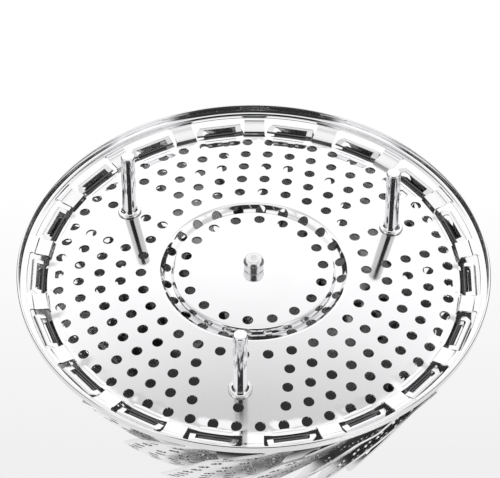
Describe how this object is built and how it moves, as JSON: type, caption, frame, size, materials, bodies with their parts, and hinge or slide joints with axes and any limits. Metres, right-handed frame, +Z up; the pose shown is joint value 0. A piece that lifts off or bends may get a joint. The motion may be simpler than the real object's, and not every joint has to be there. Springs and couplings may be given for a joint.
{
  "type": "folding steamer basket",
  "caption": "Folding stainless-steel steamer basket: perforated dished base on studs, hinged overlapping petals that close inwards, and a centre post with a lifting ring.",
  "frame": {"origin": "on the table, under the middle of the basket, at the level of the feet's tips", "axes": "+Z up along the post, -Y towards the single front foot, petal_01 hinged on the +X side"},
  "size_m": [0.14, 0.14, 0.0817],
  "materials": {
    "polished_steel": "polished stainless sheet with fine wiping marks",
    "satin_steel": "satin turned stainless steel"
  },
  "bodies": {
    "base": {"base_plate": "polished_steel", "foot_right_rear": "polished_steel", "foot_left_rear": "polished_steel", "foot_front": "polished_steel", "foot_rivet_right_rear": "polished_steel", "foot_rivet_left_rear": "polished_steel", "foot_rivet_front": "polished_steel", "centre_post": "polished_steel", "post_nut": "satin_steel"},
    "petal_01": {"petal_01": "polished_steel"},
    "petal_02": {"petal_02": "polished_steel"},
    "petal_03": {"petal_03": "polished_steel"},
    "petal_04": {"petal_04": "polished_steel"},
    "petal_05": {"petal_05": "polished_steel"},
    "petal_06": {"petal_06": "polished_steel"},
    "petal_07": {"petal_07": "polished_steel"},
    "petal_08": {"petal_08": "polished_steel"},
    "petal_09": {"petal_09": "polished_steel"},
    "petal_10": {"petal_10": "polished_steel"},
    "petal_11": {"petal_11": "polished_steel"},
    "petal_12": {"petal_12": "polished_steel"},
    "petal_13": {"petal_13": "polished_steel"},
    "petal_14": {"petal_14": "polished_steel"},
    "petal_15": {"petal_15": "polished_steel"},
    "petal_16": {"petal_16": "polished_steel"},
    "petal_17": {"petal_17": "polished_steel"},
    "petal_18": {"petal_18": "polished_steel"},
    "ring": {"lifting_ring": "polished_steel"}
  },
  "joints": [
    {"name": "petal_01_hinge", "type": "hinge", "parent": "base", "child": "petal_01", "pos_m": [0.0623, 0, 0.0253], "axis": [0, 1, 0], "range_deg": [0, 80]},
    {"name": "petal_02_hinge", "type": "hinge", "parent": "base", "child": "petal_02", "pos_m": [0.05854, 0.02131, 0.0253], "axis": [-0.342, 0.9397, 0], "range_deg": [0, 80]},
    {"name": "petal_03_hinge", "type": "hinge", "parent": "base", "child": "petal_03", "pos_m": [0.04772, 0.04005, 0.0253], "axis": [-0.6428, 0.766, 0], "range_deg": [0, 80]},
    {"name": "petal_04_hinge", "type": "hinge", "parent": "base", "child": "petal_04", "pos_m": [0.03115, 0.05395, 0.0253], "axis": [-0.866, 0.5, 0], "range_deg": [0, 80]},
    {"name": "petal_05_hinge", "type": "hinge", "parent": "base", "child": "petal_05", "pos_m": [0.01082, 0.06135, 0.0253], "axis": [-0.9848, 0.1736, 0], "range_deg": [0, 80]},
    {"name": "petal_06_hinge", "type": "hinge", "parent": "base", "child": "petal_06", "pos_m": [-0.01082, 0.06135, 0.0253], "axis": [-0.9848, -0.1736, 0], "range_deg": [0, 80]},
    {"name": "petal_07_hinge", "type": "hinge", "parent": "base", "child": "petal_07", "pos_m": [-0.03115, 0.05395, 0.0253], "axis": [-0.866, -0.5, 0], "range_deg": [0, 80]},
    {"name": "petal_08_hinge", "type": "hinge", "parent": "base", "child": "petal_08", "pos_m": [-0.04772, 0.04005, 0.0253], "axis": [-0.6428, -0.766, 0], "range_deg": [0, 80]},
    {"name": "petal_09_hinge", "type": "hinge", "parent": "base", "child": "petal_09", "pos_m": [-0.05854, 0.02131, 0.0253], "axis": [-0.342, -0.9397, 0], "range_deg": [0, 80]},
    {"name": "petal_10_hinge", "type": "hinge", "parent": "base", "child": "petal_10", "pos_m": [-0.0623, 0, 0.0253], "axis": [0, -1, 0], "range_deg": [0, 80]},
    {"name": "petal_11_hinge", "type": "hinge", "parent": "base", "child": "petal_11", "pos_m": [-0.05854, -0.02131, 0.0253], "axis": [0.342, -0.9397, 0], "range_deg": [0, 80]},
    {"name": "petal_12_hinge", "type": "hinge", "parent": "base", "child": "petal_12", "pos_m": [-0.04772, -0.04005, 0.0253], "axis": [0.6428, -0.766, 0], "range_deg": [0, 80]},
    {"name": "petal_13_hinge", "type": "hinge", "parent": "base", "child": "petal_13", "pos_m": [-0.03115, -0.05395, 0.0253], "axis": [0.866, -0.5, 0], "range_deg": [0, 80]},
    {"name": "petal_14_hinge", "type": "hinge", "parent": "base", "child": "petal_14", "pos_m": [-0.01082, -0.06135, 0.0253], "axis": [0.9848, -0.1736, 0], "range_deg": [0, 80]},
    {"name": "petal_15_hinge", "type": "hinge", "parent": "base", "child": "petal_15", "pos_m": [0.01082, -0.06135, 0.0253], "axis": [0.9848, 0.1736, 0], "range_deg": [0, 80]},
    {"name": "petal_16_hinge", "type": "hinge", "parent": "base", "child": "petal_16", "pos_m": [0.03115, -0.05395, 0.0253], "axis": [0.866, 0.5, 0], "range_deg": [0, 80]},
    {"name": "petal_17_hinge", "type": "hinge", "parent": "base", "child": "petal_17", "pos_m": [0.04772, -0.04005, 0.0253], "axis": [0.6428, 0.766, 0], "range_deg": [0, 80]},
    {"name": "petal_18_hinge", "type": "hinge", "parent": "base", "child": "petal_18", "pos_m": [0.05854, -0.02131, 0.0253], "axis": [0.342, 0.9397, 0], "range_deg": [0, 80]},
    {"name": "ring_swing", "type": "hinge", "parent": "base", "child": "ring", "pos_m": [0, 0, 0.06675], "axis": [0, -1, 0], "range_deg": [0, 336.9]}
  ],
  "couplings": [
    {"joint": "petal_02_hinge", "follows": "petal_01_hinge", "ratio": 1},
    {"joint": "petal_03_hinge", "follows": "petal_01_hinge", "ratio": 1},
    {"joint": "petal_04_hinge", "follows": "petal_01_hinge", "ratio": 1},
    {"joint": "petal_05_hinge", "follows": "petal_01_hinge", "ratio": 1},
    {"joint": "petal_06_hinge", "follows": "petal_01_hinge", "ratio": 1},
    {"joint": "petal_07_hinge", "follows": "petal_01_hinge", "ratio": 1},
    {"joint": "petal_08_hinge", "follows": "petal_01_hinge", "ratio": 1},
    {"joint": "petal_09_hinge", "follows": "petal_01_hinge", "ratio": 1},
    {"joint": "petal_10_hinge", "follows": "petal_01_hinge", "ratio": 1},
    {"joint": "petal_11_hinge", "follows": "petal_01_hinge", "ratio": 1},
    {"joint": "petal_12_hinge", "follows": "petal_01_hinge", "ratio": 1},
    {"joint": "petal_13_hinge", "follows": "petal_01_hinge", "ratio": 1},
    {"joint": "petal_14_hinge", "follows": "petal_01_hinge", "ratio": 1},
    {"joint": "petal_15_hinge", "follows": "petal_01_hinge", "ratio": 1},
    {"joint": "petal_16_hinge", "follows": "petal_01_hinge", "ratio": 1},
    {"joint": "petal_17_hinge", "follows": "petal_01_hinge", "ratio": 1},
    {"joint": "petal_18_hinge", "follows": "petal_01_hinge", "ratio": 1}
  ]
}
